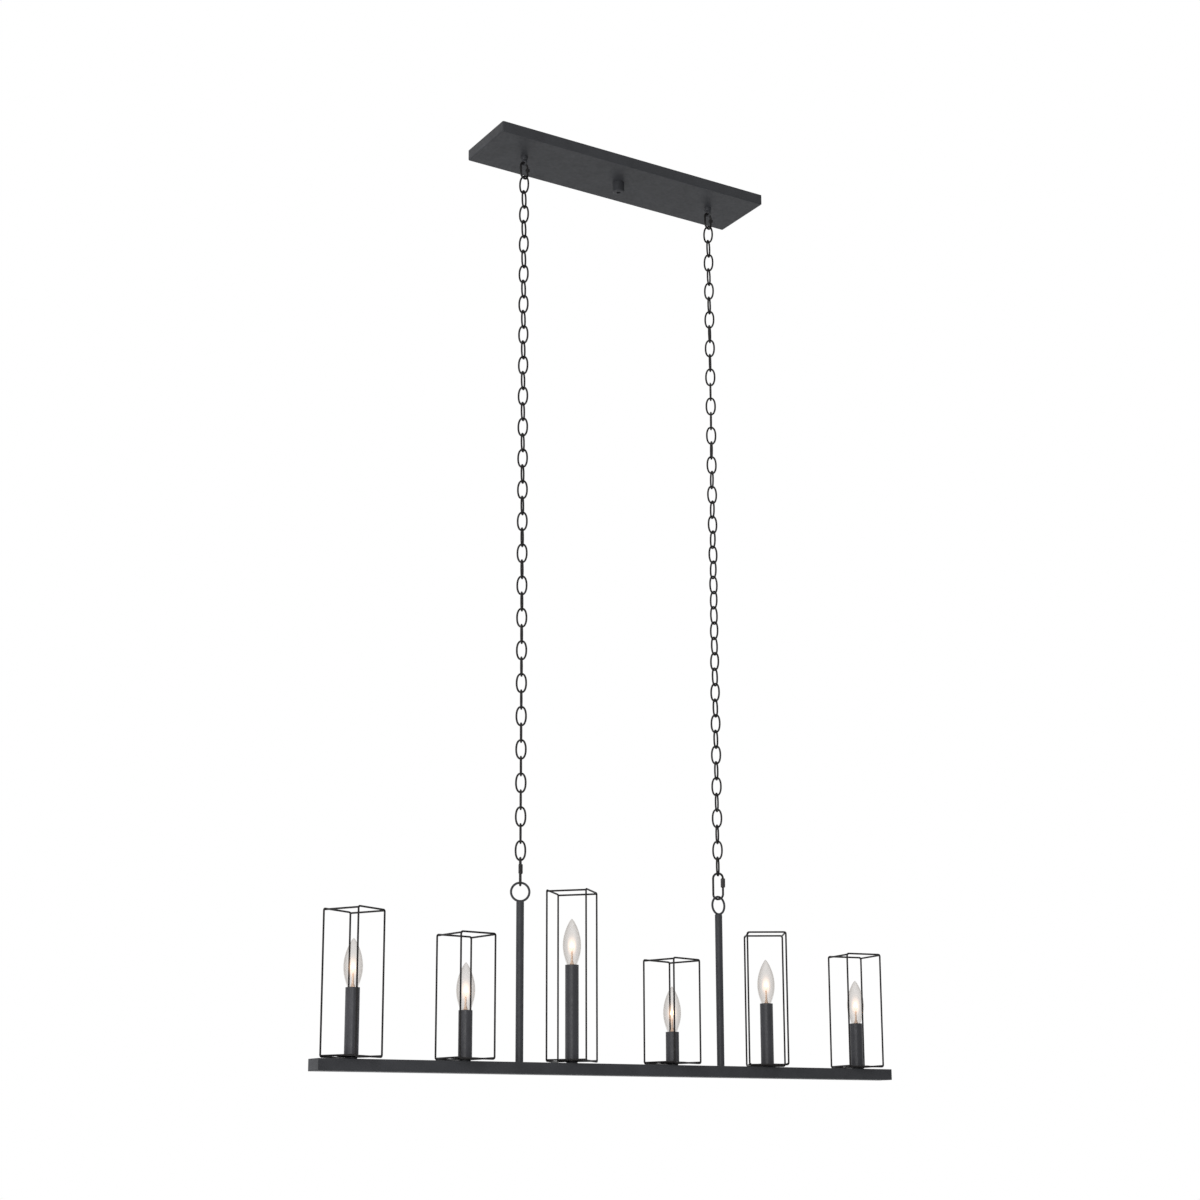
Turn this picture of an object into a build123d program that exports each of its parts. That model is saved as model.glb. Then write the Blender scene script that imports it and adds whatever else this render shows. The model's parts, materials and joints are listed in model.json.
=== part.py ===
from build123d import *
from math import cos, pi, radians, sin, sqrt, tan
import os

os.makedirs("parts", exist_ok=True)

# A linear island pendant: a ceiling canopy, two link chains and a straight bar
# that carries six candle lamps in open wire cages.
# Millimetres. +Z is up and +X runs along the bar. The origin is the centre of
# the canopy's top rim, in the plane of the ceiling.

# ---- canopy and what bolts it to the ceiling
canopy_length = 585.0
canopy_width = 138.0
canopy_height = 20.0
canopy_wall = 1.2
canopy_corner = 3.0           # plan radius of the pan's folded corners
canopy_bend = 2.4             # outside radius of the fold round the underside
strap_width = 25.0
strap_thickness = 2.5
strap_seat_length = 104.0     # raised middle that lies against the ceiling box
strap_joggle = 12.0           # run of the sloping step at each side of it
strap_overhang = 18.0         # strap beyond the eye's shank
box_screw_spacing = 88.9
box_screw_radius = 2.4
supply_hole_radius = 7.0

# ---- eyes under the canopy
eye_collar_radius = 6.5
eye_collar_length = 7.5
eye_mean_radius = 5.0
eye_wire_radius = 2.0
eye_shank_radius = 3.0
eye_shank_proud = 1.5         # shank above its upper nut
eye_collar_edge = 1.0
eye_loop_sink = 0.5           # loop let into the collar
shank_clearance = 0.25
eye_nut_height = 5.0
eye_nut_flats = 10.0
eye_turn = -72.0              # plan angle of the eye's own plane

# ---- cord outlet in the middle of the canopy
outlet_radius = 11.0
outlet_height = 20.0
outlet_bore_radius = 4.0
outlet_stub_radius = 5.5
outlet_stub_length = 8.0
outlet_nut_height = 3.5
outlet_nut_flats = 16.0
outlet_edge = 1.5

# ---- quick links
quick_wire_radius = 2.0
quick_wire_sides = 8
quick_half_width = 9.2        # centre of the link to the centre of its wire
upper_quick_height = 31.5     # between the wire's centres, top to bottom
lower_quick_height = 48.0
upper_nut_length = 6.2
lower_nut_length = 17.0
quick_nut_flats = 7.4
nut_edge = 0.9
nut_running_gap = 0.05        # radial, nut bore over the wire
nut_shoulder = 0.5            # closed nut short of the bend above it
nut_engagement = 1.2          # thread the closed nut holds above the gate
gate_gap = 4.3
upper_quick_turn = 18.0
lower_quick_turns = (58.0, -48.0)

# ---- chains
chain_links = 43
link_pitch = 30.0
link_wire_radius = 1.75
link_wire_sides = 6
link_bow_angle = 30.0         # each of the bow's two sloping flats, from the upright
link_half_width = 8.5
seat_gap = 0.3                # left between two wires that hang on each other
chain_top_turn = -52.0        # plan angle of the first link
chain_turns = (-32.0, 42.0)   # plan angle that the even links settle to

# ---- stems
stem_radius = 6.75
stem_wall = 1.5
stem_crown = 8.0              # solid top of the stem, under the ring
stem_crown_edge = 2.2
ring_mean_radius = 16.0
ring_wire_radius = 2.0
ring_wire_sides = 8
ring_sink = 2.2               # ring wire let into the stem's crown
stem_height = 276.0
ring_turns = (-24.0, 12.0)

# ---- bar
bar_overhang = 66.5           # last lamp's centre to the end of the bar
bar_width = 40.0
bar_height = 20.0
bar_wall = 1.5
bar_corner = 1.2
end_cap_lip = 8.0
end_cap_gap = 0.15

# ---- lamps
lamp_count = 6
lamp_spacing = 209.0
sleeve_lengths = (110.0, 79.0, 164.0, 53.0, 110.0, 79.0)
sleeve_radius = 11.9
sleeve_wall = 1.1
spacer_radius = 10.0
spacer_height = 3.0
disc_radius = 24.5
disc_thickness = 1.5
nipple_radius = 5.0
nipple_bore_radius = 3.5
nipple_clearance = 0.2
nipple_below = 10.0           # nipple inside the bar, under its top wall
nipple_into_socket = 6.0
lamp_nut_flats = 15.0
lamp_nut_height = 3.5
socket_clearance = 1.0        # radial, between the socket and the sleeve round it
socket_length = 34.0
socket_below_rim = 3.0
base_radius = 6.0
base_length = 20.0
base_running_gap = 0.05
base_floor_gap = 0.3
base_rim_height = 0.8         # bulb base that shows above the socket

# ---- bulbs
bulb_radius = 16.1
bulb_length = 83.4
bulb_neck_radius = 8.0
bulb_belly_height = 36.0      # widest ring above the bulb's own base
bulb_taper_power = 0.75       # under 1 keeps the taper full towards the tip
bulb_bands = (3, 4)           # straight bands of the swell and of the taper, outside
cavity_bands = (1, 2)         # and inside
bulb_wall = 0.8
bulb_floor = 3.0
filament_post_radius = 1.5
filament_post_height = 22.0
filament_wire_radius = 0.5
filament_wire_sides = 4
filament_foot_spread = 0.8
filament_spread = 4.0
filament_lead_height = 9.0    # from the top of the post to the level of the spread
filament_height = 12.0        # from the spread to the peak
filament_sink = 1.0           # leads let into the top of the glass post
base_edge = 1.2

# ---- cages
cage_width = 71.2             # between the centres of opposite uprights
cage_wire_radius = 1.6
cage_wire_sides = 6
cage_bend = 3.2
cage_strap_width = 14.0
cage_running_gap = 0.08       # radial, strap hole over the nipple it turns on
cage_above_sleeve = 128.5     # sleeve's rim to the centre of the top wires
cage_turns = (28.0, 7.5, 43.7, 16.1, -31.0, -8.3)


# ---- heights, worked down from the ceiling
canopy_under = -canopy_height
eye_seat = canopy_under - eye_collar_length + eye_loop_sink - 2 * eye_mean_radius
upper_quick_top = eye_seat + eye_wire_radius + quick_wire_radius + seat_gap
upper_quick_bottom = upper_quick_top - upper_quick_height
link_height = link_pitch + 2 * link_wire_radius + seat_gap
first_link_top = upper_quick_bottom + quick_wire_radius + link_wire_radius + seat_gap
first_link_centre = first_link_top - link_height / 2
last_link_bottom = first_link_top - (chain_links - 1) * link_pitch - link_height
lower_quick_top = last_link_bottom + quick_wire_radius + link_wire_radius + seat_gap
lower_quick_bottom = lower_quick_top - lower_quick_height
ring_top = lower_quick_bottom + quick_wire_radius + ring_wire_radius + seat_gap
ring_centre = ring_top - ring_mean_radius
stem_top = ring_centre - ring_mean_radius - ring_wire_radius + ring_sink
bar_top = stem_top - stem_height

stem_offset = lamp_spacing    # each stem stands midway between two lamps
lamp_places = [(i - (lamp_count - 1) / 2) * lamp_spacing for i in range(lamp_count)]
bar_length = 2 * (lamp_places[-1] + bar_overhang)
strap_level = bar_top + spacer_height
disc_level = strap_level + disc_thickness
sleeve_level = disc_level + disc_thickness
sleeve_rims = [sleeve_level + length for length in sleeve_lengths]
cage_floor = strap_level + disc_thickness / 2
nipple_hole_radius = nipple_radius + nipple_clearance
socket_radius = sleeve_radius - sleeve_wall - socket_clearance

print("bar top at", round(bar_top, 2), "mm; overall drop", round(bar_height - bar_top, 2), "mm")


def finish(part, label):
    """Name a finished piece and write it to its own file."""
    part.label = label
    export_step(part, f"parts/{label}.step")


def hex_radius(flats):
    """Corner radius of a hexagon that measures `flats` across its flats."""
    return flats / sqrt(3)


def plan_plane(x, z, turn):
    """Upright plane through (x, 0, z): its own x runs along `turn`, its own y is up."""
    along = (cos(radians(turn)), sin(radians(turn)), 0)
    normal = (sin(radians(turn)), -cos(radians(turn)), 0)
    return Plane((x, 0, z), x_dir=along, z_dir=normal)


def wire_ring(x, z, turn, mean_radius, wire_radius):
    """Closed ring of wire about (x, 0, z), in the upright plane at `turn`."""
    ring_plane = plan_plane(x, z, turn)
    section_centre = ring_plane.from_local_coords((mean_radius, 0, 0))
    section = Plane(section_centre, x_dir=ring_plane.x_dir, z_dir=(0, 0, 1))
    with BuildSketch(section) as wire:
        RegularPolygon(wire_radius, ring_wire_sides, major_radius=False)
    revolve(wire.sketch, axis=Axis(ring_plane.origin, ring_plane.z_dir))


# ---- canopy pan: a shallow folded tray, open towards the ceiling
with BuildPart() as canopy_pan:
    with BuildSketch(Plane.XY.offset(canopy_under)):
        RectangleRounded(canopy_length, canopy_width, canopy_corner)
    extrude(amount=canopy_height)
    fillet(canopy_pan.faces().sort_by(Axis.Z)[0].edges(), canopy_bend)
    rim_face = canopy_pan.faces().sort_by(Axis.Z)[-1]
    offset(amount=-canopy_wall, openings=rim_face)
    with BuildSketch(Plane.XY.offset(canopy_under - canopy_wall)):
        with Locations((-stem_offset, 0), (stem_offset, 0)):
            Circle(eye_shank_radius + shank_clearance)
        Circle(outlet_stub_radius + shank_clearance)
    extrude(amount=3 * canopy_wall, mode=Mode.SUBTRACT)
finish(canopy_pan.part, "canopy_pan")

# ---- mounting strap: a flat bar with its ends stepped down to the eyes
strap_half = stem_offset + strap_overhang
strap_end_top = canopy_under + canopy_wall + eye_nut_height + strap_thickness
with BuildPart() as mounting_strap:
    with BuildSketch(Plane.XZ.offset(-strap_width / 2)):
        with BuildLine():
            seat = strap_seat_length / 2
            step = seat + strap_joggle
            Polyline(
                (-strap_half, strap_end_top),
                (-step, strap_end_top),
                (-seat, 0),
                (seat, 0),
                (step, strap_end_top),
                (strap_half, strap_end_top),
                (strap_half, strap_end_top - strap_thickness),
                (step, strap_end_top - strap_thickness),
                (seat, -strap_thickness),
                (-seat, -strap_thickness),
                (-step, strap_end_top - strap_thickness),
                (-strap_half, strap_end_top - strap_thickness),
                close=True,
            )
        make_face()
    extrude(amount=strap_width)
    fillet(
        mounting_strap.edges().filter_by(Axis.Z).group_by(Axis.X)[0]
        + mounting_strap.edges().filter_by(Axis.Z).group_by(Axis.X)[-1],
        strap_width / 4,
    )
    with BuildSketch(Plane.XY.offset(canopy_under)):
        with Locations((-stem_offset, 0), (stem_offset, 0)):
            Circle(eye_shank_radius + shank_clearance)
        with Locations((-box_screw_spacing / 2, 0), (box_screw_spacing / 2, 0)):
            Circle(box_screw_radius)
        Circle(supply_hole_radius)
    extrude(amount=canopy_height, mode=Mode.SUBTRACT)
finish(mounting_strap.part, "mounting_strap")


# ---- eyes: a collar with a threaded shank above it and a wire loop below it
with BuildPart() as eyes:
    with BuildSketch(Plane.XY.offset(canopy_under - eye_collar_length)):
        with Locations((-stem_offset, 0), (stem_offset, 0)):
            Circle(eye_collar_radius)
    extrude(amount=eye_collar_length)
    chamfer(eyes.edges().group_by(Axis.Z)[0], eye_collar_edge)
    with BuildSketch(Plane.XY.offset(canopy_under)):
        with Locations((-stem_offset, 0), (stem_offset, 0)):
            Circle(eye_shank_radius)
    extrude(amount=strap_end_top + eye_nut_height + eye_shank_proud - canopy_under)
    for x in (-stem_offset, stem_offset):
        wire_ring(x, eye_seat + eye_mean_radius, eye_turn, eye_mean_radius, eye_wire_radius)
finish(eyes.part, "ceiling_eyes")

# ---- eye nuts: one under the strap, one over it, at each eye
with BuildPart() as eye_nuts:
    for level in (strap_end_top - strap_thickness - eye_nut_height, strap_end_top):
        with BuildSketch(Plane.XY.offset(level)):
            with Locations((-stem_offset, 0), (stem_offset, 0)):
                RegularPolygon(hex_radius(eye_nut_flats), 6)
                Circle(eye_shank_radius, mode=Mode.SUBTRACT)
        extrude(amount=eye_nut_height)
finish(eye_nuts.part, "eye_nuts")

# ---- cord outlet: a round boss with a bored stub through the canopy
with BuildPart() as cord_outlet:
    with BuildSketch(Plane.XY.offset(canopy_under - outlet_height)):
        Circle(outlet_radius)
    extrude(amount=outlet_height)
    chamfer(cord_outlet.edges().group_by(Axis.Z)[0], outlet_edge)
    with BuildSketch(Plane.XY.offset(canopy_under)):
        Circle(outlet_stub_radius)
    extrude(amount=canopy_wall + outlet_stub_length)
    with BuildSketch(Plane.XY.offset(canopy_under - outlet_height)):
        Circle(outlet_bore_radius)
    extrude(amount=outlet_height + canopy_wall + outlet_stub_length, mode=Mode.SUBTRACT)
finish(cord_outlet.part, "cord_outlet")

with BuildPart() as outlet_nut:
    with BuildSketch(Plane.XY.offset(canopy_under + canopy_wall)):
        RegularPolygon(hex_radius(outlet_nut_flats), 6)
        Circle(outlet_stub_radius, mode=Mode.SUBTRACT)
    extrude(amount=outlet_nut_height)
finish(outlet_nut.part, "outlet_nut")


# ---- quick links: an open wire oval whose gate is closed by a long nut
def make_quick_link(x, top, height, nut_length, turn, label):
    """The wire is made in the link's own upright plane, with the nut on its +x side."""
    straight = height / 2 - quick_half_width
    nut_top = straight - nut_shoulder
    gate_top = nut_top - nut_engagement
    gate_bottom = gate_top - gate_gap
    side = quick_half_width
    plane = plan_plane(x, top - height / 2, turn)
    with BuildPart() as wire:
        with BuildLine(plane) as path:
            Line((side, gate_top), (side, straight))
            CenterArc((0, straight), side, 0, 180)
            Line((-side, straight), (-side, -straight))
            CenterArc((0, -straight), side, 180, 180)
            Line((side, -straight), (side, gate_bottom))
        with BuildSketch(Plane(path.wire() @ 0, z_dir=path.wire() % 0)):
            RegularPolygon(quick_wire_radius, quick_wire_sides)
        sweep()
    finish(wire.part, label)

    nut_plane = Plane(plane.from_local_coords((side, nut_top - nut_length, 0)), x_dir=plane.x_dir)
    with BuildPart() as nut:
        with BuildSketch(nut_plane):
            RegularPolygon(hex_radius(quick_nut_flats), 6)
            Circle(quick_wire_radius + nut_running_gap, mode=Mode.SUBTRACT)
        extrude(amount=nut_length)
        ends = nut.edges().filter_by(GeomType.LINE).filter_by(Axis.Z, reverse=True)
        chamfer(ends, nut_edge)
    finish(nut.part, label.replace("quick_link", "quick_nut"))


for side, name in ((-1, "left"), (1, "right")):
    make_quick_link(
        side * stem_offset,
        upper_quick_top,
        upper_quick_height,
        upper_nut_length,
        upper_quick_turn,
        f"quick_link_upper_{name}",
    )
    make_quick_link(
        side * stem_offset,
        lower_quick_top,
        lower_quick_height,
        lower_nut_length,
        lower_quick_turns[0 if side < 0 else 1],
        f"quick_link_lower_{name}",
    )

# ---- one chain link: six-sided wire bent to a long oval, three flats to each bow
bow_flat = link_half_width * tan(radians(link_bow_angle))
link_straight = link_height / 2 - link_half_width
with BuildPart() as link:
    with BuildLine(Plane.XZ) as oval:
        Polyline(
            (link_half_width, 0),
            (link_half_width, link_straight),
            (bow_flat, link_height / 2),
            (-bow_flat, link_height / 2),
            (-link_half_width, link_straight),
            (-link_half_width, -link_straight),
            (-bow_flat, -link_height / 2),
            (bow_flat, -link_height / 2),
            (link_half_width, -link_straight),
            close=True,
        )
    with BuildSketch(Plane((link_half_width, 0, 0), x_dir=(0, 1, 0), z_dir=(0, 0, 1))):
        RegularPolygon(link_wire_radius, link_wire_sides, major_radius=False)
    sweep(transition=Transition.RIGHT)
print("link volume", round(link.part.volume, 1), "valid", link.part.is_valid)


# ---- chains: every other link stands at a right angle, and the row slowly twists
def link_turn(index, settled):
    """Plan angle of a link: the row eases from the first link to `settled`."""
    share = (1 - cos(pi * index / (chain_links - 1))) / 2
    return chain_top_turn + (settled - chain_top_turn) * share + 90 * (index % 2)


def make_chain(side, settled, label):
    places = [
        Location(
            (side * stem_offset, 0, first_link_centre - i * link_pitch),
            (0, 0, link_turn(i, settled)),
        )
        for i in range(chain_links)
    ]
    with BuildPart() as chain:
        with Locations(*places):
            add(link.part)
    finish(chain.part, label)


make_chain(-1, chain_turns[0], "chain_left")
make_chain(1, chain_turns[1], "chain_right")


# ---- stems: a tube with a solid crown and a wire ring let into it
def make_stem(side, turn, label):
    x = side * stem_offset
    inner = stem_radius - stem_wall
    with BuildPart() as stem:
        with BuildSketch(Plane((x, 0, bar_top))):
            Circle(stem_radius)
        extrude(amount=stem_height)
        chamfer(stem.edges().group_by(Axis.Z)[-1], stem_crown_edge)
        with BuildSketch(Plane((x, 0, bar_top))):
            Circle(inner)
        extrude(amount=stem_height - stem_crown, mode=Mode.SUBTRACT)
        wire_ring(x, ring_centre, turn, ring_mean_radius, ring_wire_radius)
    finish(stem.part, label)


make_stem(-1, ring_turns[0], "stem_left")
make_stem(1, ring_turns[1], "stem_right")

# ---- bar: a rectangular tube drilled along its top for the lamps
with BuildPart() as bar_tube:
    with BuildSketch(Plane.YZ.offset(-bar_length / 2)):
        with Locations((0, bar_top - bar_height / 2)):
            RectangleRounded(bar_width, bar_height, bar_corner)
            Rectangle(bar_width - 2 * bar_wall, bar_height - 2 * bar_wall, mode=Mode.SUBTRACT)
    extrude(amount=bar_length)
    with BuildSketch(Plane.XY.offset(bar_top - 2 * bar_wall)):
        with Locations(*[(x, 0) for x in lamp_places]):
            Circle(nipple_hole_radius)
    extrude(amount=3 * bar_wall, mode=Mode.SUBTRACT)
finish(bar_tube.part, "bar_tube")

# ---- bar ends: a solid plug flush in each end of the tube
with BuildPart() as bar_ends:
    for end in (-1, 1):
        with BuildSketch(Plane.YZ.offset(end * (bar_length / 2 - end_cap_lip * (end > 0)))):
            with Locations((0, bar_top - bar_height / 2)):
                Rectangle(
                    bar_width - 2 * bar_wall - 2 * end_cap_gap,
                    bar_height - 2 * bar_wall - 2 * end_cap_gap,
                )
        extrude(amount=end_cap_lip)
finish(bar_ends.part, "bar_ends")

# ---- lamp hardware that repeats at each lamp, grouped by kind
with BuildPart() as lamp_nuts:
    for level in (bar_top - bar_wall - lamp_nut_height, sleeve_level):
        with BuildSketch(Plane.XY.offset(level)):
            with Locations(*[(x, 0) for x in lamp_places]):
                RegularPolygon(hex_radius(lamp_nut_flats), 6)
                Circle(nipple_radius, mode=Mode.SUBTRACT)
        extrude(amount=lamp_nut_height)
finish(lamp_nuts.part, "lamp_nuts")

with BuildPart() as spacers:
    with BuildSketch(Plane.XY.offset(bar_top)):
        with Locations(*[(x, 0) for x in lamp_places]):
            Circle(spacer_radius)
            Circle(nipple_hole_radius, mode=Mode.SUBTRACT)
    extrude(amount=spacer_height)
finish(spacers.part, "lamp_spacers")

with BuildPart() as nipples:
    for x, rim in zip(lamp_places, sleeve_rims):
        foot = bar_top - bar_wall - nipple_below
        socket_floor = rim - socket_below_rim - socket_length
        with BuildSketch(Plane((x, 0, foot))):
            Circle(nipple_radius)
            Circle(nipple_bore_radius, mode=Mode.SUBTRACT)
        extrude(amount=socket_floor + nipple_into_socket - foot)
finish(nipples.part, "nipples")

with BuildPart() as sockets:
    for x, rim in zip(lamp_places, sleeve_rims):
        socket_top = rim - socket_below_rim
        bulb_hole_depth = base_length - base_rim_height + base_floor_gap
        with BuildSketch(Plane((x, 0, socket_top - socket_length))):
            Circle(socket_radius)
        extrude(amount=socket_length)
        with BuildSketch(Plane((x, 0, socket_top - bulb_hole_depth))):
            Circle(base_radius + base_running_gap)
        extrude(amount=bulb_hole_depth, mode=Mode.SUBTRACT)
        with BuildSketch(Plane((x, 0, socket_top - socket_length))):
            Circle(nipple_radius)
        extrude(amount=nipple_into_socket, mode=Mode.SUBTRACT)
finish(sockets.part, "sockets")


# ---- one lamp: drip disc, sleeve, bulb and cage
def make_disc(x, label):
    with BuildPart() as disc:
        with BuildSketch(Plane((x, 0, disc_level))):
            Circle(disc_radius)
            Circle(nipple_hole_radius, mode=Mode.SUBTRACT)
        extrude(amount=disc_thickness)
    finish(disc.part, label)


def make_sleeve(x, length, label):
    with BuildPart() as sleeve:
        with BuildSketch(Plane((x, 0, sleeve_level))):
            Circle(sleeve_radius)
            Circle(sleeve_radius - sleeve_wall, mode=Mode.SUBTRACT)
        extrude(amount=length)
    finish(sleeve.part, label)


def envelope(inset, foot, bands):
    """Half outline of the torpedo envelope: a sine swell to the belly, then a cosine taper."""
    swell_bands, taper_bands = bands
    neck = bulb_neck_radius - inset
    belly = bulb_radius - inset
    tip = bulb_length - inset
    points = [(0, foot)]
    for i in range(swell_bands):
        share = i / swell_bands
        width = neck + (belly - neck) * sin(pi / 2 * share)
        points.append((width, foot + (bulb_belly_height - foot) * share))
    for i in range(taper_bands):
        share = i / taper_bands
        width = belly * cos(pi / 2 * share) ** bulb_taper_power
        points.append((width, bulb_belly_height + (tip - bulb_belly_height) * share))
    return points + [(0, tip)]


def make_bulb(x, rim, name):
    base_top = rim - socket_below_rim + base_rim_height
    with BuildPart() as base:
        with BuildSketch(Plane((x, 0, base_top - base_length))):
            Circle(base_radius)
        extrude(amount=base_length)
        chamfer(base.edges().group_by(Axis.Z)[0], base_edge)
    finish(base.part, f"bulb_base_{name}")

    section = Plane((x, 0, base_top), x_dir=(1, 0, 0), z_dir=(0, -1, 0))
    with BuildPart() as glass:
        with BuildSketch(section):
            with BuildLine():
                Polyline(*envelope(0, 0, bulb_bands), close=True)
            make_face()
            with BuildLine():
                Polyline(*envelope(bulb_wall, bulb_floor, cavity_bands), close=True)
            make_face(mode=Mode.SUBTRACT)
        revolve(axis=Axis((x, 0, 0), (0, 0, 1)))
    finish(glass.part, f"bulb_glass_{name}")

    with BuildPart() as filament:
        with BuildSketch(Plane((x, 0, base_top + bulb_floor))):
            Circle(filament_post_radius)
        extrude(amount=filament_post_height)
        foot = base_top + bulb_floor + filament_post_height - filament_sink
        spread_level = foot + filament_lead_height
        with BuildLine(Plane.XZ):
            hairpin = Polyline(
                (x - filament_foot_spread, foot),
                (x - filament_spread, spread_level),
                (x, spread_level + filament_height),
                (x + filament_spread, spread_level),
                (x + filament_foot_spread, foot),
            )
        with BuildSketch(Plane(hairpin @ 0, z_dir=hairpin % 0)):
            RegularPolygon(filament_wire_radius, filament_wire_sides)
        sweep(path=hairpin, transition=Transition.RIGHT)
    finish(filament.part, f"filament_{name}")


def make_cage(x, rim, turn, label):
    """Two bent hoops on opposite faces, four cross wires and a strap under the disc."""
    half = cage_width / 2
    roof = rim + cage_above_sleeve
    middle = (roof + cage_floor) / 2
    rise = (roof - cage_floor) / 2
    inset = cage_bend / 2        # a cross wire is welded to the middle of each bend
    along = (cos(radians(turn)), sin(radians(turn)), 0)
    across = (-sin(radians(turn)), cos(radians(turn)), 0)
    with BuildPart() as cage:
        for side in (-1, 1):
            centre = (x + side * half * across[0], side * half * across[1], middle)
            hoop_plane = Plane(centre, x_dir=along, z_dir=(-across[0], -across[1], 0))
            with BuildLine(hoop_plane):
                hoop = Polyline(
                    (half, 0),
                    (half, rise - cage_bend),
                    (half - cage_bend, rise),
                    (cage_bend - half, rise),
                    (-half, rise - cage_bend),
                    (-half, cage_bend - rise),
                    (cage_bend - half, -rise),
                    (half - cage_bend, -rise),
                    (half, cage_bend - rise),
                    close=True,
                )
            with BuildSketch(Plane(hoop @ 0, x_dir=along, z_dir=(0, 0, 1))):
                RegularPolygon(cage_wire_radius, cage_wire_sides, major_radius=False)
            sweep(path=hoop, transition=Transition.RIGHT)
        for level in (cage_floor + inset, roof - inset):
            for end in (-half + inset, half - inset):
                start_x = x + end * along[0] - half * across[0]
                start_y = end * along[1] - half * across[1]
                with BuildSketch(Plane((start_x, start_y, level), x_dir=along, z_dir=across)):
                    RegularPolygon(cage_wire_radius, cage_wire_sides, major_radius=False)
                extrude(amount=cage_width)
        floor_plane = Plane((x, 0, strap_level), x_dir=along, z_dir=(0, 0, 1))
        with BuildSketch(floor_plane):
            Rectangle(cage_strap_width, cage_width)
        extrude(amount=disc_thickness)
        with BuildSketch(floor_plane):
            Circle(nipple_radius + cage_running_gap)
        extrude(amount=disc_thickness, mode=Mode.SUBTRACT)
    finish(cage.part, label)


for number in range(lamp_count):
    x = lamp_places[number]
    rim = sleeve_rims[number]
    make_disc(x, f"drip_disc_{number + 1}")
    make_sleeve(x, sleeve_lengths[number], f"sleeve_{number + 1}")
    make_bulb(x, rim, number + 1)
    make_cage(x, rim, cage_turns[number], f"cage_{number + 1}")
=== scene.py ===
import json
from math import cos, exp, pi, radians, sin

import bmesh
import bpy
from mathutils import Matrix, Vector


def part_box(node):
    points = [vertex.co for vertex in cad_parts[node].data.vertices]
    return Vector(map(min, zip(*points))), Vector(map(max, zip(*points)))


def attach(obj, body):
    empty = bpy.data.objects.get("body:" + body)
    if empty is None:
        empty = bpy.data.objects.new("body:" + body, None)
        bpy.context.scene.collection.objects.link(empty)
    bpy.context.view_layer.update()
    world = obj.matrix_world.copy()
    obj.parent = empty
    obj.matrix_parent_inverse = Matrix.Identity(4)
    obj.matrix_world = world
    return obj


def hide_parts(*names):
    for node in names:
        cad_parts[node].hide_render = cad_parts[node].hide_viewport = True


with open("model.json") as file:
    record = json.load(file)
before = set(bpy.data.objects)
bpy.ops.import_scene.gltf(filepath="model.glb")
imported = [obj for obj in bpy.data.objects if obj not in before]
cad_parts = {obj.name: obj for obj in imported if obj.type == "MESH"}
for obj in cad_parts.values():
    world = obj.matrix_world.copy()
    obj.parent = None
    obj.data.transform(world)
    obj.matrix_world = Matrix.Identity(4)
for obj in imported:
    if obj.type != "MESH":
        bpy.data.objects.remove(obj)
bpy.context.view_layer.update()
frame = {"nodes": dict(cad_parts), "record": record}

# A linear island pendant: canopy, two chains, a bar and six candle lamps in wire cages.
# Metres, in the frame's own axes: +Z is up, +X runs along the bar, the ceiling is z = 0.
# Turns are in degrees about the upright axis. A wire's own size is its radius, and a form bent
# from wire is measured to the wire's middle.
mm = 0.001
up = Vector((0, 0, 1))
back = Vector((0, 1, 0))

# ---- sizes that the stand-ins share with the nodes they replace
eye_loop_radius = 5.0 * mm
eye_wire = 2.0 * mm
eye_turn = -72.0
eye_shank_radius = 3.0 * mm
eye_collar_radius = 6.5 * mm
eye_collar_edge = 1.0 * mm       # rounding of the collar's lower edge
eye_collar_lap = 0.5 * mm        # from the middle of the loop's wire down to the collar's foot

quick_wire = 2.0 * mm
quick_half_width = 9.2 * mm
nut_engagement = 1.2 * mm        # how deep the wire above the gate stands in the nut
gate_gap = 4.3 * mm
quick_turns = {
    "upper_left": 18.0,
    "upper_right": 18.0,
    "lower_left": 58.0,
    "lower_right": -48.0,
}

chain_links = 43
link_pitch = 30.0 * mm
link_wire = 1.75 * mm
link_half_width = 8.5 * mm
link_half_height = 16.9 * mm
link_fullness = 2.25             # 2 is an ellipse, more is squarer
chain_top_turn = -52.0
chain_turns = {"left": -32.0, "right": 42.0}

stem_radius = 6.75 * mm
stem_edge = 2.2 * mm             # rounding of the crown
ring_radius = 16.0 * mm
ring_wire = 2.0 * mm
ring_sink = 2.2 * mm             # how deep the ring is let into the crown
ring_turns = {"left": -24.0, "right": 12.0}

cage_width = 71.2 * mm
cage_wire = 1.6 * mm
cage_bend = 3.2 * mm
cage_strap_width = 14.0 * mm
cage_strap_thickness = 1.5 * mm
cage_hole_radius = 5.08 * mm
cage_turns = (28.0, 7.5, 43.7, 16.1, -31.0, -8.3)

bulb_radius = 16.1 * mm
bulb_neck_radius = 8.0 * mm
bulb_belly_height = 36.0 * mm
bulb_wall = 0.8 * mm
bulb_floor = 3.0 * mm
taper_power = 0.75               # less makes the taper to the tip fuller
tip_crowding = 1.6               # more sets the outline's points closer towards the tip

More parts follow.
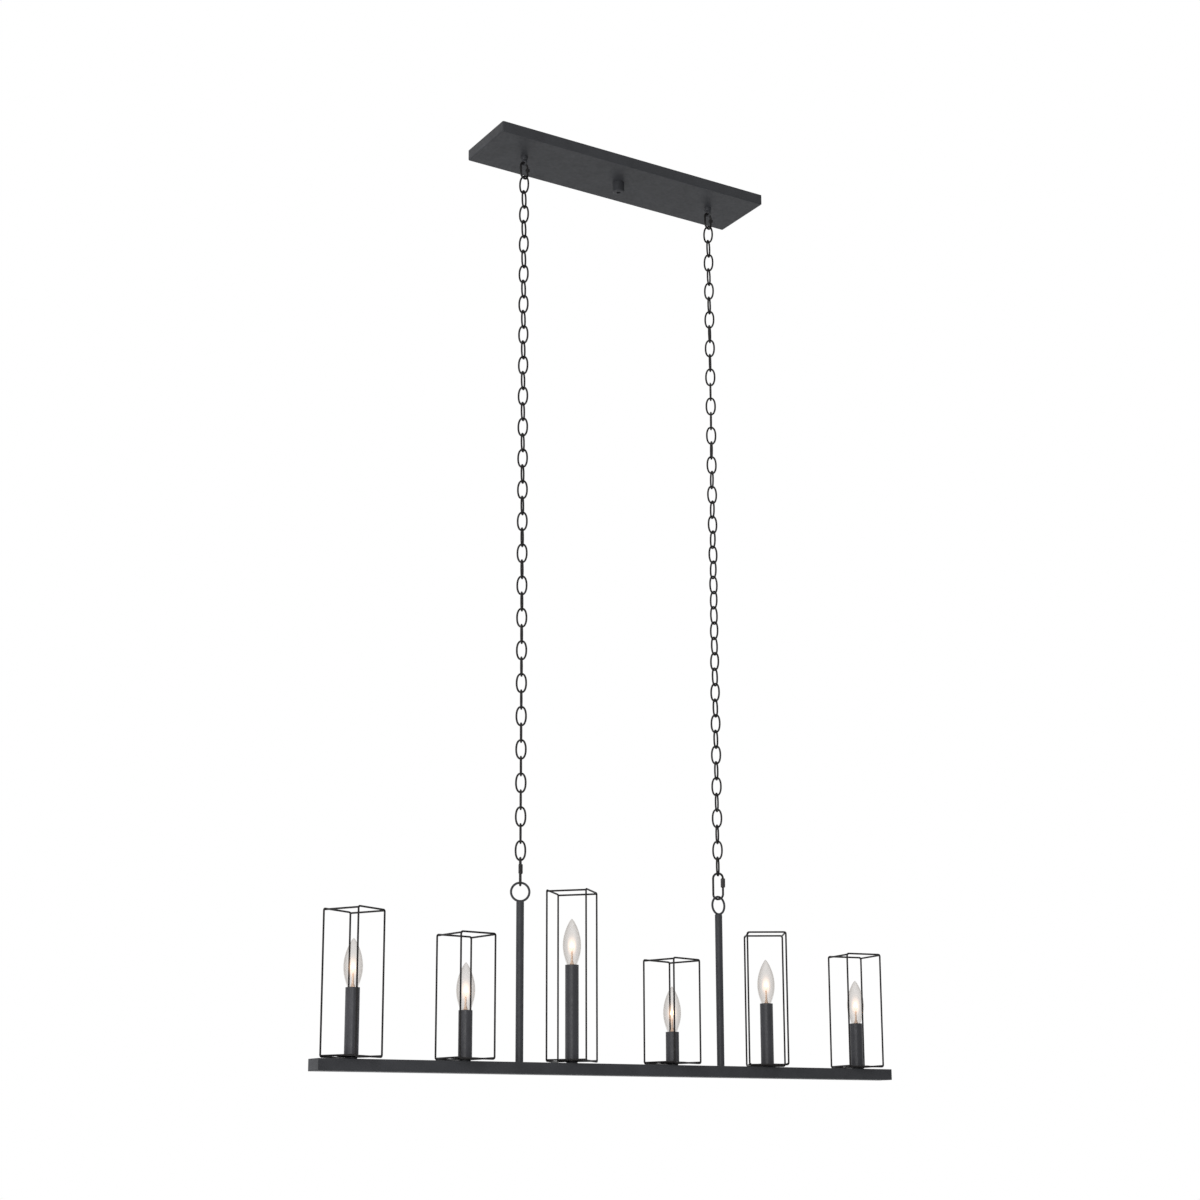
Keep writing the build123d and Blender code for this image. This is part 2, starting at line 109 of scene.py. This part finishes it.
# ---- the glass mount in a bulb, and the wires on it
post_height = 22.0 * mm
post_foot_radius = 4.2 * mm
flare_radius = 3.2 * mm
flare_height = 2.0 * mm
waist_radius = 1.9 * mm
waist_height = 7.0 * mm
pinch_radius = 1.5 * mm
pinch_drop = 2.0 * mm            # drops are measured down from the mount's top
bead_radius = 1.8 * mm
bead_drop = 0.8 * mm
bead_top_radius = 1.2 * mm
lead_radius = 0.28 * mm
lead_root = 0.8 * mm             # each lead's distance from the axis, where it leaves the mount
lead_knee = 1.4 * mm
knee_rise = 2.0 * mm             # rises are measured up from the mount's top
support_radius = 0.2 * mm
support_drop = 1.0 * mm
coil_half_spread = 3.6 * mm
coil_foot_rise = 8.0 * mm
coil_height = 9.0 * mm
coil_radius = 0.75 * mm
coil_wire = 0.26 * mm
coil_turns = 14

# ---- the filament's glow, painted on the glass as its own emission
glow_attribute = "filament_glow"
glow_height = 35.0 * mm          # of its middle, above the glass's foot
glow_reach = 13.0 * mm           # height over which it fades
painted_glass_glow = 12.0

# ---- how finely the stand-ins are meshed
stout_sides = 16                 # round a wire of the eyes, quick links and rings
slim_sides = 12                  # round a wire of the chains and cages
hair_sides = 8                   # round a lead or the support
ring_steps = 48
half_round_steps = 20
quarter_round_steps = 5
axis_gap = 0.2 * mm              # a turned outline starts and ends this far from its axis
glass_axis_gap = 0.1 * mm
crease_angle = radians(38)

# ---- places taken from the frame
bodies = frame["record"]["behaviour"]["bodies"]
body_of = {node: body for body, nodes in bodies.items() for node in nodes}
bar_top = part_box("bar_tube")[1].z
canopy_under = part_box("canopy_pan")[0].z


def upright_extent(node):
    """Where an upright node stands along the bar, its foot and its top."""
    low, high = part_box(node)
    return (low.x + high.x) / 2, low.z, high.z


stem_places = {side: upright_extent(f"chain_{side}")[0] for side in ("left", "right")}


# ---- shader tools: each takes a node tree and returns a socket
def noise(tree, scale, detail=2.0, drawn_out=1.0):
    """Noise with about `scale` features to the metre, `drawn_out` times longer along Z."""
    coordinates = tree.nodes.new("ShaderNodeTexCoord")
    stretch = tree.nodes.new("ShaderNodeMapping")
    stretch.inputs["Scale"].default_value = (1.0, 1.0, 1.0 / drawn_out)
    texture = tree.nodes.new("ShaderNodeTexNoise")
    texture.inputs["Scale"].default_value = scale
    texture.inputs["Detail"].default_value = detail
    tree.links.new(coordinates.outputs["Object"], stretch.inputs["Vector"])
    tree.links.new(stretch.outputs["Vector"], texture.inputs["Vector"])
    return texture.outputs["Fac"]


def remap(tree, source, low, high, to_low, to_high):
    """`source` mapped from low..high to to_low..to_high, and held there beyond its ends."""
    node = tree.nodes.new("ShaderNodeMapRange")
    node.inputs["From Min"].default_value = low
    node.inputs["From Max"].default_value = high
    node.inputs["To Min"].default_value = to_low
    node.inputs["To Max"].default_value = to_high
    tree.links.new(source, node.inputs["Value"])
    return node.outputs["Result"]


def spread(tree, source, low, high):
    """`source` mapped from the middle half of its range to low..high."""
    return remap(tree, source, 0.25, 0.75, low, high)


def multiply(tree, first, second):
    """Product of a socket and another socket or a number."""
    node = tree.nodes.new("ShaderNodeMath")
    node.operation = "MULTIPLY"
    tree.links.new(first, node.inputs[0])
    if isinstance(second, float):
        node.inputs[1].default_value = second
    else:
        tree.links.new(second, node.inputs[1])
    return node.outputs["Value"]


def blend_colours(tree, source, low, high):
    """Colours from low to high by `source`; each end is three numbers or a socket."""
    node = tree.nodes.new("ShaderNodeMix")
    node.data_type = "RGBA"
    colours = [socket for socket in node.inputs if socket.type == "RGBA"]
    for socket, colour in zip(colours, (low, high)):
        if isinstance(colour, bpy.types.NodeSocket):
            tree.links.new(colour, socket)
        else:
            socket.default_value = (*colour, 1)
    tree.links.new(source, node.inputs["Factor"])
    return next(socket for socket in node.outputs if socket.type == "RGBA")


def bump(tree, source, depth, below=None):
    """Normals of a relief `depth` high, laid over the normals `below`."""
    node = tree.nodes.new("ShaderNodeBump")
    node.inputs["Strength"].default_value = 1.0
    node.inputs["Distance"].default_value = depth
    tree.links.new(source, node.inputs["Height"])
    if below is not None:
        tree.links.new(below, node.inputs["Normal"])
    return node.outputs["Normal"]


def looked_at(tree):
    """1 on rays that look at a surface straight, in a reflection or through glass, else 0."""
    rays = tree.nodes.new("ShaderNodeLightPath")
    seen = rays.outputs["Is Camera Ray"]
    for other in ("Is Glossy Ray", "Is Transmission Ray"):
        either = tree.nodes.new("ShaderNodeMath")
        either.operation = "MAXIMUM"
        tree.links.new(seen, either.inputs[0])
        tree.links.new(rays.outputs[other], either.inputs[1])
        seen = either.outputs["Value"]
    return seen


# ---- materials
cloud_scale = 26.0               # features to the metre, of the colour and of the gloss
gloss_scale = 140.0
gloss_change = 0.07

charcoal = (0.038, 0.039, 0.043)
sleeve_charcoal = (0.042, 0.042, 0.047)
wire_black = (0.010, 0.009, 0.009)
hardware_black = (0.014, 0.013, 0.013)
socket_black = (0.028, 0.028, 0.028)
zinc = (0.60, 0.60, 0.60)
brass = (0.72, 0.60, 0.38)
copper = (0.72, 0.46, 0.36)
# Painted light: the clear mount glass is coloured warm peach as if lit by its filament.
lit_mount = (0.96, 0.72, 0.56)
hot_orange = (1.0, 0.70, 0.42)
hot_strength = 3.0

gloss_grey = (0.20, 0.19, 0.19)
painted_glow_colour = (1.0, 0.63, 0.40)
streak_dark = (0.91, 0.90, 0.893)
streak_clear = (0.975, 0.969, 0.963)
edge_tint = (0.80, 0.785, 0.77)
gloss_share_face_on = 0.02
gloss_share_edge = 0.05
glow_facing = 0.15               # of Facing: the glow is gone where the glass turns this far away


def new_material(name):
    """A material with the default shader: (material, its node tree, the shader)."""
    material = bpy.data.materials.new(name)
    material.use_nodes = True
    tree = material.node_tree
    return material, tree, tree.nodes["Principled BSDF"]


def surface(name, colour, roughness, metallic=0.0, specular=0.3, grain=1100.0, depth=0.05 * mm,
            waves=90.0, wave_depth=0.0, change=0.16):
    """A painted, moulded or plated surface: cloudy colour, uneven gloss and fine grain."""
    material, tree, shader = new_material(name)
    shader.inputs["Metallic"].default_value = metallic
    shader.inputs["Specular IOR Level"].default_value = specular
    cloud = spread(tree, noise(tree, cloud_scale, 4.0), 0.0, 1.0)
    darker = [c * (1 - change) for c in colour]
    lighter = [c * (1 + change) for c in colour]
    tree.links.new(blend_colours(tree, cloud, darker, lighter), shader.inputs["Base Color"])
    uneven = noise(tree, gloss_scale, 3.0)
    gloss = spread(tree, uneven, roughness - gloss_change, roughness + gloss_change)
    tree.links.new(gloss, shader.inputs["Roughness"])
    normal = bump(tree, noise(tree, grain, 3.0), depth)
    if wave_depth:
        normal = bump(tree, noise(tree, waves, 2.0), wave_depth, normal)
    tree.links.new(normal, shader.inputs["Normal"])
    return material


def clear_glass():
    """Thin envelope: faintly tinted face on, greyer to its edge, with a warm glow painted on where
    its filament would light it.
    """
    material, tree, shader = new_material("clear_glass")
    shader.inputs["Base Color"].default_value = (*gloss_grey, 1)
    shader.inputs["Specular IOR Level"].default_value = 0.6
    gloss = spread(tree, noise(tree, 90.0), 0.08, 0.14)
    tree.links.new(gloss, shader.inputs["Roughness"])
    layer = tree.nodes.new("ShaderNodeLayerWeight")
    layer.inputs["Blend"].default_value = 0.35
    facing = layer.outputs["Facing"]

    # Painted light: emission on the glass, strongest face on and near the filament, stands in for
    # the filament's light on the glass.
    lit = tree.nodes.new("ShaderNodeAttribute")
    lit.attribute_name = glow_attribute
    face_on = remap(tree, facing, 0.0, glow_facing, 1.0, 0.0)
    glow = multiply(tree, lit.outputs["Fac"], multiply(tree, face_on, face_on))
    shader.inputs["Emission Color"].default_value = (*painted_glow_colour, 1)
    tree.links.new(multiply(tree, glow, painted_glass_glow), shader.inputs["Emission Strength"])

    streaks = noise(tree, 240.0, 2.0, drawn_out=12.0)
    streaked = blend_colours(tree, streaks, streak_dark, streak_clear)
    tint = blend_colours(tree, facing, streaked, edge_tint)
    open_glass = tree.nodes.new("ShaderNodeBsdfTransparent")
    tree.links.new(tint, open_glass.inputs["Color"])
    mixed = tree.nodes.new("ShaderNodeMixShader")
    gloss_share = remap(tree, facing, 0.0, 1.0, gloss_share_face_on, gloss_share_edge)
    tree.links.new(gloss_share, mixed.inputs["Fac"])
    tree.links.new(open_glass.outputs["BSDF"], mixed.inputs[1])
    tree.links.new(shader.outputs["BSDF"], mixed.inputs[2])
    tree.links.new(mixed.outputs["Shader"], tree.nodes["Material Output"].inputs["Surface"])
    return material


def glowing(name, colour, strength):
    """A lit wire, not sampled as a light, since its glow on the glass is the glass's own."""
    material, tree, shader = new_material(name)
    shader.inputs["Base Color"].default_value = (*colour, 1)
    shader.inputs["Roughness"].default_value = 0.4
    heat = spread(tree, noise(tree, 900.0), 0.75 * strength, 1.25 * strength)
    shader.inputs["Emission Color"].default_value = (*colour, 1)
    tree.links.new(heat, shader.inputs["Emission Strength"])
    material.cycles.emission_sampling = "NONE"
    return material


finishes = {
    "black_paint": surface("black_paint_finish", charcoal, 0.50, specular=0.20,
                           wave_depth=0.05 * mm, waves=60.0, change=0.22),
    "black_chain": surface("black_chain_finish", wire_black, 0.42, specular=0.16,
                           wave_depth=0.25 * mm, waves=260.0, change=0.35),
    "black_hardware": surface("black_hardware_finish", hardware_black, 0.42, specular=0.18,
                              wave_depth=0.15 * mm, waves=200.0, change=0.3),
    "black_wire": surface("black_wire_finish", wire_black, 0.48, specular=0.14,
                          wave_depth=0.12 * mm, waves=220.0, change=0.35),
    "sleeve_black": surface("sleeve_black_finish", sleeve_charcoal, 0.42, specular=0.22,
                            wave_depth=0.08 * mm, waves=90.0, change=0.2),
    "zinc_steel": surface("zinc_steel_finish", zinc, 0.36, metallic=1.0),
    "socket_plastic": surface("socket_plastic_finish", socket_black, 0.5),
    "bulb_base_metal": surface("bulb_base_finish", brass, 0.28, metallic=1.0),
    "bulb_glass": clear_glass(),
    # The mount's warm colour is painted filament light on clear glass.
    "filament": surface("mount_glass_painted_warm_light", lit_mount, 0.25, change=0.04),
}
hot_wire = glowing("hot_wire", hot_orange, hot_strength)
lead_metal = surface("lead_wire", copper, 0.35, metallic=1.0)

slot_of = {}
for node_name, node in frame["nodes"].items():
    for place in node.material_slots:
        slot_of[node_name] = place.material.name.split(".")[0]
        place.material = finishes[slot_of[node_name]]


# ---- mesh tools: each shape is (vertices, faces), and join_shapes puts shapes in one mesh
def rows_to_faces(rows, around, closed):
    """Quads between `rows` rings of `around` points; `closed` joins the last ring to the first."""
    faces = []
    for i in range(rows if closed else rows - 1):
        for j in range(around):
            k = (j + 1) % around
            a, b = i * around, (i + 1) % rows * around
            faces.append((a + j, a + k, b + k, b + j))
    return faces


def end_caps(rows, around):
    """One face on the first of `rows` rings of `around` points, and one on the last."""
    return [tuple(reversed(range(around))), tuple(range((rows - 1) * around, rows * around))]


def swept_wire(points, normal, radius, sides, closed=True):
    """Round wire along `points`, which lie in one plane square to `normal`."""
    count = len(points)
    verts = []
    for i, point in enumerate(points):
        ahead = points[(i + 1) % count] if closed or i + 1 < count else point
        behind = points[i - 1] if closed or i else point
        outward = (ahead - behind).normalized().cross(normal)
        for j in range(sides):
            angle = 2 * pi * j / sides
            verts.append(point + radius * (cos(angle) * outward + sin(angle) * normal))
    faces = rows_to_faces(count, sides, closed)
    if not closed:
        faces += end_caps(count, sides)
    return verts, faces


def turned_solid(profile, x, around=48):
    """Lathe a (radius, height) outline about the upright axis at x, with a cap at each end."""
    verts = [
        Vector((x + r * cos(2 * pi * j / around), r * sin(2 * pi * j / around), z))
        for r, z in profile
        for j in range(around)
    ]
    return verts, rows_to_faces(len(profile), around, False) + end_caps(len(profile), around)


def join_shapes(name, shapes):
    """One mesh object from several shapes, with creases where faces meet sharply."""
    mesh = bpy.data.meshes.new(name)
    verts, faces = [], []
    for shape_verts, shape_faces in shapes:
        start = len(verts)
        verts += shape_verts
        faces += [tuple(start + i for i in face) for face in shape_faces]
    mesh.from_pydata([tuple(v) for v in verts], [], faces)
    work = bmesh.new()
    work.from_mesh(mesh)
    bmesh.ops.recalc_face_normals(work, faces=work.faces)
    for face in work.faces:
        face.smooth = True
    for edge in work.edges:
        edge.smooth = edge.calc_face_angle(0) < crease_angle
    work.to_mesh(mesh)
    work.free()
    piece = bpy.data.objects.new(name, mesh)
    bpy.context.scene.collection.objects.link(piece)
    return piece


def dress(piece, node, material=None):
    """Give a piece the slot and body of a CAD node, and its finish or another."""
    piece.data.materials.append(material or finishes[slot_of[node]])
    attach(piece, body_of[node])


def stand_in(node, shapes):
    """A finer piece in place of a CAD node."""
    piece = join_shapes(node + "_fine", shapes)
    dress(piece, node)
    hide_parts(node)
    return piece


def plan_direction(turn):
    """Level direction at `turn` from +X."""
    return Vector((cos(radians(turn)), sin(radians(turn)), 0))


def upright_points(centre, turn, outline):
    """Points of an (across, up) outline in the upright plane at `turn`, and that plane's normal."""
    along = plan_direction(turn)
    points = [centre + across * along + height * up for across, height in outline]
    return points, along.cross(up)


def arc(centre, radius, start, end, steps):
    """(across, up) points of an arc, angles in degrees, both ends included."""
    angles = [radians(start + (end - start) * i / steps) for i in range(steps + 1)]
    return [(centre[0] + radius * cos(a), centre[1] + radius * sin(a)) for a in angles]


def wire_ring(centre, turn, radius, wire):
    """Closed ring of wire in the upright plane at `turn`."""
    circle = arc((0, 0), radius, 0, 360, ring_steps)[:-1]
    points, normal = upright_points(centre, turn, circle)
    return swept_wire(points, normal, wire, stout_sides)


# ---- eyes under the canopy
def eye_shapes(x, low, high):
    """An eye's collar and shank, and its wire loop."""
    loop_centre = low + eye_loop_radius + eye_wire
    collar_low = loop_centre + eye_loop_radius - eye_collar_lap
    halfway = 0.3 * eye_collar_edge          # how far in the rounding's middle lies
    collar = [
        (axis_gap, collar_low),
        (eye_collar_radius - eye_collar_edge, collar_low),
        (eye_collar_radius - halfway, collar_low + halfway),
        (eye_collar_radius, collar_low + eye_collar_edge),
        (eye_collar_radius, canopy_under),
        (eye_shank_radius, canopy_under),
        (eye_shank_radius, high),
        (axis_gap, high),
    ]
    loop = wire_ring(Vector((x, 0, loop_centre)), eye_turn, eye_loop_radius, eye_wire)
    return [turned_solid(collar, x), loop]


def ceiling_eyes():
    """Both eyes, which share one node."""
    _, low, high = upright_extent("ceiling_eyes")
    shapes = [shape for x in stem_places.values() for shape in eye_shapes(x, low, high)]
    stand_in("ceiling_eyes", shapes)


# ---- quick links: an open wire oval, its gate under the nut
def quick_link(place):
    """Open wire oval; its nut, a node of its own, closes the gap."""
    node = f"quick_link_{place}"
    side = place.split("_")[1]
    _, low, high = upright_extent(node)
    nut_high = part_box(f"quick_nut_{place}")[1].z
    middle = (low + high) / 2
    straight = (high - low) / 2 - quick_wire - quick_half_width
    gate_top = nut_high - nut_engagement - middle
    outline = [(quick_half_width, gate_top)]
    outline += arc((0, straight), quick_half_width, 0, 180, half_round_steps)
    outline += arc((0, -straight), quick_half_width, 180, 360, half_round_steps)
    outline += [(quick_half_width, gate_top - gate_gap)]
    centre = Vector((stem_places[side], 0, middle))
    points, normal = upright_points(centre, quick_turns[place], outline)
    stand_in(node, [swept_wire(points, normal, quick_wire, stout_sides, closed=False)])


# ---- chains
def link_outline(steps=36):
    """Oval between an ellipse and a stadium."""
    power = 2 / link_fullness
    outline = []
    for i in range(steps):
        angle = 2 * pi * i / steps
        across, height = cos(angle), sin(angle)
        outline.append((
            link_half_width * abs(across) ** power * (1 if across > 0 else -1),
            link_half_height * abs(height) ** power * (1 if height > 0 else -1),
        ))
    return outline


def chain(side):
    """Links hung in each other, every other one a quarter turn round, the row slowly twisting."""
    node = f"chain_{side}"
    x, low, high = upright_extent(node)
    middle = (low + high) / 2
    shapes = []
    for i in range(chain_links):
        share = (1 - cos(pi * i / (chain_links - 1))) / 2
        turn = chain_top_turn + (chain_turns[side] - chain_top_turn) * share + 90 * (i % 2)
        height = middle + ((chain_links - 1) / 2 - i) * link_pitch
        points, normal = upright_points(Vector((x, 0, height)), turn, link_outline())
        shapes.append(swept_wire(points, normal, link_wire, slim_sides))
    stand_in(node, shapes)


# ---- stems with their rings
def stem(side):
    """Tube with a rounded crown, and the ring let into it."""
    node = f"stem_{side}"
    x = stem_places[side]
    _, low, high = upright_extent(node)
    ring_centre = high - ring_radius - ring_wire
    top = ring_centre - ring_radius - ring_wire + ring_sink
    crown = arc((stem_radius - stem_edge, top - stem_edge), stem_edge, 0, 90, 4)
    profile = [(axis_gap, low), (stem_radius, low)] + crown + [(axis_gap, top)]
    ring = wire_ring(Vector((x, 0, ring_centre)), ring_turns[side], ring_radius, ring_wire)
    stand_in(node, [turned_solid(profile, x), ring])


# ---- cages
def rounded_hoop(half, rise):
    """(across, up) outline of a hoop with a small bend at each corner."""
    outline = []
    for across, height, start in ((1, 1, 0), (-1, 1, 90), (-1, -1, 180), (1, -1, 270)):
        corner = (across * (half - cage_bend), height * (rise - cage_bend))
        outline += arc(corner, cage_bend, start, start + 90, quarter_round_steps)
    return outline


def holed_strap(centre, along, across, half_length, bottom, top, steps=8):
    """Flat strap along `across` with a round hole in its middle."""
    half_width = cage_strap_width / 2
    inner, outer = [], []
    for i in range(4 * steps):
        angle = 2 * pi * i / (4 * steps)
        inner.append(centre + cage_hole_radius * (cos(angle) * along + sin(angle) * across))
        reach = half_width / max(abs(cos(angle)), abs(sin(angle)))
        outer.append(centre + reach * (cos(angle) * along + sin(angle) * across))
    nearly_at_end = 0.999 * half_width
    for point in outer:
        distance = (point - centre).dot(across)
        if abs(distance) > nearly_at_end:
            point += across * (half_length - half_width) * (1 if distance > 0 else -1)
    rings = [
        [p + bottom * up for p in inner],
        [p + bottom * up for p in outer],
        [p + top * up for p in outer],
        [p + top * up for p in inner],
    ]
    return [p for ring in rings for p in ring], rows_to_faces(4, len(inner), True)


def cage(number):
    """Two upright hoops, the four wires that join their corners, and the strap across the foot."""
    node = f"cage_{number}"
    x, low, high = upright_extent(node)
    turn = cage_turns[number - 1]
    along, across = plan_direction(turn), plan_direction(turn + 90)
    half = cage_width / 2
    rise = (high - low) / 2 - cage_wire
    middle = Vector((x, 0, (low + high) / 2))
    shapes = []
    for side in (-half, half):
        points, normal = upright_points(middle + side * across, turn, rounded_hoop(half, rise))
        shapes.append(swept_wire(points, normal, cage_wire, slim_sides))
    inset = cage_bend / 2
    for height in (inset - rise, rise - inset):
        for end in (inset - half, half - inset):
            start = middle + end * along + height * up
            points = [start - half * across, start + half * across]
            shapes.append(swept_wire(points, up, cage_wire, slim_sides, closed=False))
    floor = middle.z - rise
    bottom, top = floor - cage_strap_thickness / 2, floor + cage_strap_thickness / 2
    shapes.append(holed_strap(Vector((x, 0, 0)), along, across, half, bottom, top))
    stand_in(node, shapes)


# ---- bulbs
def envelope(inset, foot, length, steps=40):
    """(radius, height) outline of the glass: a sine swell to the belly, then a taper to the tip."""
    neck, belly = bulb_neck_radius - inset, bulb_radius - inset
    outline = [(glass_axis_gap, foot)]
    for i in range(steps // 2):
        share = i / (steps // 2)
        width = neck + (belly - neck) * sin(pi / 2 * share)
        outline.append((width, foot + (bulb_belly_height - foot) * share))
    for i in range(steps):
        share = 1 - (1 - i / steps) ** tip_crowding
        height = bulb_belly_height + (length - inset - bulb_belly_height) * share
        outline.append((belly * cos(pi / 2 * share) ** taper_power, height))
    return outline + [(glass_axis_gap, length - inset)]


def raised(outline, base):
    """The outline lifted by `base`."""
    return [(r, z + base) for r, z in outline]


def add_cavity(piece, inside):
    """Put the cavity's wall in the glass mesh, facing into the cavity."""
    work = bmesh.new()
    work.from_mesh(inside.data)
    bmesh.ops.reverse_faces(work, faces=work.faces)
    work.from_mesh(piece.data)
    work.to_mesh(piece.data)
    work.free()
    bpy.data.objects.remove(inside)


def bulb_glass(number):
    """Hollow envelope, whose points carry how strongly the filament's painted glow shows on them.
    """
    node = f"bulb_glass_{number}"
    x, base, tip = upright_extent(node)
    length = tip - base
    outside = turned_solid(raised(envelope(0, 0, length), base), x)
    cavity = turned_solid(raised(envelope(bulb_wall, bulb_floor, length), base), x)
    piece = stand_in(node, [outside])
    add_cavity(piece, join_shapes("inside", [cavity]))
    # Painted light: a warm glow mask, strongest at glow_height and fading over glow_reach, standing
    # in for the filament's light on the glass.
    glow = piece.data.attributes.new(glow_attribute, "FLOAT", "POINT")
    for vertex, value in zip(piece.data.vertices, glow.data):
        distance = (vertex.co.z - base - glow_height) / glow_reach
        value.value = exp(-distance * distance)


def coil(start, end, radius, wire, turns, sides=6, steps=10):
    """Coiled wire from start to end."""
    axis = (end - start).normalized()
    first = axis.cross(back).normalized()
    second = axis.cross(first)
    count = turns * steps
    verts = []
    for i in range(count + 1):
        angle = 2 * pi * i / steps
        out = cos(angle) * first + sin(angle) * second
        ahead = (cos(angle) * second - sin(angle) * first) * radius * 2 * pi / steps
        tangent = (ahead + (end - start) / count).normalized()
        centre = start + (end - start) * (i / count) + radius * out
        side = tangent.cross(out)
        for j in range(sides):
            turn = 2 * pi * j / sides
            verts.append(centre + wire * (cos(turn) * out + sin(turn) * side))
    return verts, rows_to_faces(count + 1, sides, False) + end_caps(count + 1, sides)


def filament(number):
    """Glass mount, two leads and a support, and the hot coil that they hold up in a peak."""
    node = f"filament_{number}"
    x, base, _ = upright_extent(f"bulb_glass_{number}")
    foot = base + bulb_floor
    top = foot + post_height
    post = [
        (glass_axis_gap, foot),
        (post_foot_radius, foot),
        (flare_radius, foot + flare_height),
        (waist_radius, foot + waist_height),
        (pinch_radius, top - pinch_drop),
        (bead_radius, top - bead_drop),
        (bead_top_radius, top),
        (glass_axis_gap, top),
    ]
    stand_in(node, [turned_solid(post, x, around=24)])

    coil_foot = top + coil_foot_rise
    peak = Vector((x, 0, coil_foot + coil_height))
    coil_feet = [Vector((x + side * coil_half_spread, 0, coil_foot)) for side in (-1, 1)]
    wires = []
    for side, coil_end in zip((-1, 1), coil_feet):
        points = [
            Vector((x + side * lead_root, 0, top - pinch_drop)),
            Vector((x + side * lead_knee, 0, top + knee_rise)),
            coil_end,
        ]
        wires.append(swept_wire(points, back, lead_radius, hair_sides, closed=False))
    support = [Vector((x, 0, top - support_drop)), peak]
    wires.append(swept_wire(support, back, support_radius, hair_sides, closed=False))
    dress(join_shapes(f"leads_{number}", wires), node, lead_metal)

    spans = [(coil_feet[0], peak), (peak, coil_feet[1])]
    coils = [coil(*span, coil_radius, coil_wire, coil_turns) for span in spans]
    dress(join_shapes(f"hot_coil_{number}", coils), node, hot_wire)


# ---- the whole fixture
ceiling_eyes()
for place in quick_turns:
    quick_link(place)
for side in stem_places:
    chain(side)
for side in stem_places:
    stem(side)
for number in range(1, len(cage_turns) + 1):
    cage(number)
    bulb_glass(number)
    filament(number)


# ---- floor, light and camera
floor_radius = 16.0
floor_height = -2.75
floor_grey = (0.62, 0.62, 0.62)
floor_lift = 0.66                # glow that shows the floor nearly as white as what is behind it
fixture_middle = Vector((0, 0, -0.9))
near_lamps = Vector((-0.4, 0, -1.5))
daylight = (0.96, 0.98, 1.0)
daylight_strength = 0.34


def flat_disc(name, radius, height, around=64):
    verts = [Vector((radius * cos(2 * pi * i / around), radius * sin(2 * pi * i / around), height))
             for i in range(around)]
    return join_shapes(name, [(verts, [tuple(range(around))])])


def floor_finish():
    """Pale floor that keeps the shadows on it, lifted towards the white behind it."""
    material = surface("floor_finish", floor_grey, 0.8, specular=0.0, grain=40.0, change=0.01)
    tree = material.node_tree
    shader = tree.nodes["Principled BSDF"]
    shader.inputs["Emission Color"].default_value = (1, 1, 1, 1)
    tree.links.new(multiply(tree, looked_at(tree), floor_lift), shader.inputs["Emission Strength"])
    return material


def pale_floor():
    floor = flat_disc("floor", floor_radius, floor_height)
    floor.data.materials.append(floor_finish())


def area_light(name, place, target, size, power):
    """Round soft light at `place`, turned to `target`."""
    light = bpy.data.lights.new(name, "AREA")
    light.shape = "DISK"
    light.size = size
    light.energy = power
    lamp = bpy.data.objects.new(name, light)
    lamp.location = place
    lamp.rotation_mode = "QUATERNION"
    lamp.rotation_quaternion = (target - Vector(place)).to_track_quat("-Z", "Y")
    bpy.context.scene.collection.objects.link(lamp)


def studio_lamps():
    """Three soft lights on the left: the key, one on the near candles and one from below."""
    area_light("key", (-3.6, -2.0, -0.3), fixture_middle, size=1.4, power=54.0)
    area_light("front", (-1.7, -2.5, -1.5), near_lamps, size=0.8, power=25.0)
    area_light("low", (-1.6, 0.4, -2.5), fixture_middle, size=1.4, power=22.0)


def background(tree, colour, strength):
    """Output of a world that shines evenly."""
    node = tree.nodes.new("ShaderNodeBackground")
    node.inputs["Color"].default_value = (*colour, 1)
    node.inputs["Strength"].default_value = strength
    return node.outputs["Background"]


def studio_world():
    """Dim daylight on the fixture, and plain white where a ray looks past it."""
    world = bpy.data.worlds.new("studio")
    bpy.context.scene.world = world
    world.use_nodes = True
    tree = world.node_tree
    tree.nodes.clear()
    choose = tree.nodes.new("ShaderNodeMixShader")
    output = tree.nodes.new("ShaderNodeOutputWorld")
    tree.links.new(looked_at(tree), choose.inputs["Fac"])
    tree.links.new(background(tree, daylight, daylight_strength), choose.inputs[1])
    tree.links.new(background(tree, (1, 1, 1), 1.0), choose.inputs[2])
    tree.links.new(choose.outputs["Shader"], output.inputs["Surface"])


# The lens and place that the picture's canopy, chains, bar and lamps agree on, with about half
# of the upward shift that fits them best, so that other views take in nearly all of the fixture.
picture_side = 1200
focal_pixels = 2058.4
principal = (618.96, 691.01)
camera_place = Vector((-1.9497, -3.1216, bar_top - 0.1431))
camera_yaw, camera_pitch, camera_roll = radians(31.927), radians(12.510), radians(-0.283)
sensor_width = 36.0


def picture_lens():
    lens = bpy.data.cameras.new("camera")
    lens.sensor_width = sensor_width
    lens.lens = sensor_width * focal_pixels / picture_side
    lens.shift_x = (picture_side / 2 - principal[0]) / picture_side
    lens.shift_y = (principal[1] - picture_side / 2) / picture_side
    lens.clip_start = 0.1
    lens.clip_end = 60.0
    return lens


def camera_axes():
    """The camera's right, up and backward directions, from its yaw, pitch and roll."""
    forward = Vector((
        sin(camera_yaw) * cos(camera_pitch),
        cos(camera_yaw) * cos(camera_pitch),
        sin(camera_pitch),
    ))
    level_right = Vector((cos(camera_yaw), -sin(camera_yaw), 0))
    level_up = level_right.cross(forward)
    right = cos(camera_roll) * level_right + sin(camera_roll) * level_up
    upward = cos(camera_roll) * level_up - sin(camera_roll) * level_right
    return right, upward, -forward


def picture_camera():
    camera = bpy.data.objects.new("camera", picture_lens())
    turn = Matrix(camera_axes()).transposed().to_4x4()
    camera.matrix_world = Matrix.Translation(camera_place) @ turn
    bpy.context.scene.collection.objects.link(camera)
    bpy.context.scene.camera = camera


pale_floor()
studio_lamps()
studio_world()
picture_camera()
bpy.context.scene.view_settings.view_transform = "Standard"
